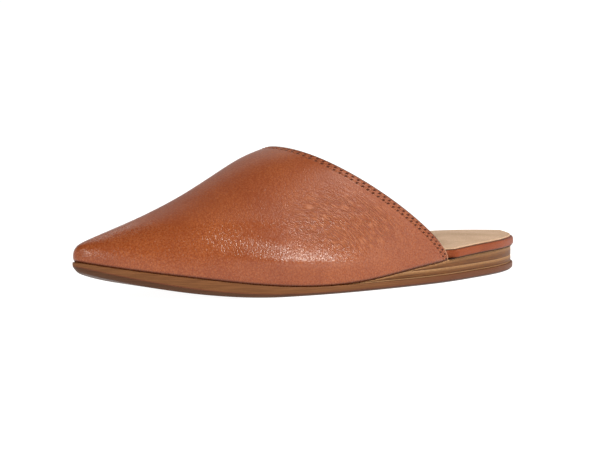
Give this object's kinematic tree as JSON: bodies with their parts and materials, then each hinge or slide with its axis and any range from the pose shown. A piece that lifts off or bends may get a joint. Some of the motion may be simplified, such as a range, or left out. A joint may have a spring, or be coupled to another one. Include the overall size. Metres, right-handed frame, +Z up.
{
  "type": "mule shoe",
  "caption": "Backless slip-on mule for the left foot: pointed one-piece leather vamp over a wrapped footbed, on a thin sole with a low stacked heel.",
  "frame": {"origin": "centre of the bounding box in plan, at the floor", "axes": "+X towards the toe, +Y towards the outer (lateral) side of the left foot, +Z up"},
  "size_m": [0.2742, 0.0836, 0.0703],
  "materials": {
    "vamp_leather": "tan tumbled leather, soft satin, finely creased at the side",
    "wrap_leather": "smooth orange-tan leather wrapped over the footbed's edge",
    "sock_leather": "smooth pale beige, matt",
    "sole_rubber": "reddish brown, satin edge, finely grooved tread",
    "stacked_lift": "stacked leatherboard, brown with darker and paler streaks, burnished"
  },
  "bodies": {
    "root": {"outsole": "sole_rubber", "heel_lift_lower": "stacked_lift", "heel_lift_upper": "stacked_lift", "insole": "wrap_leather", "sock": "sock_leather", "upper": "vamp_leather"}
  },
  "joints": []
}
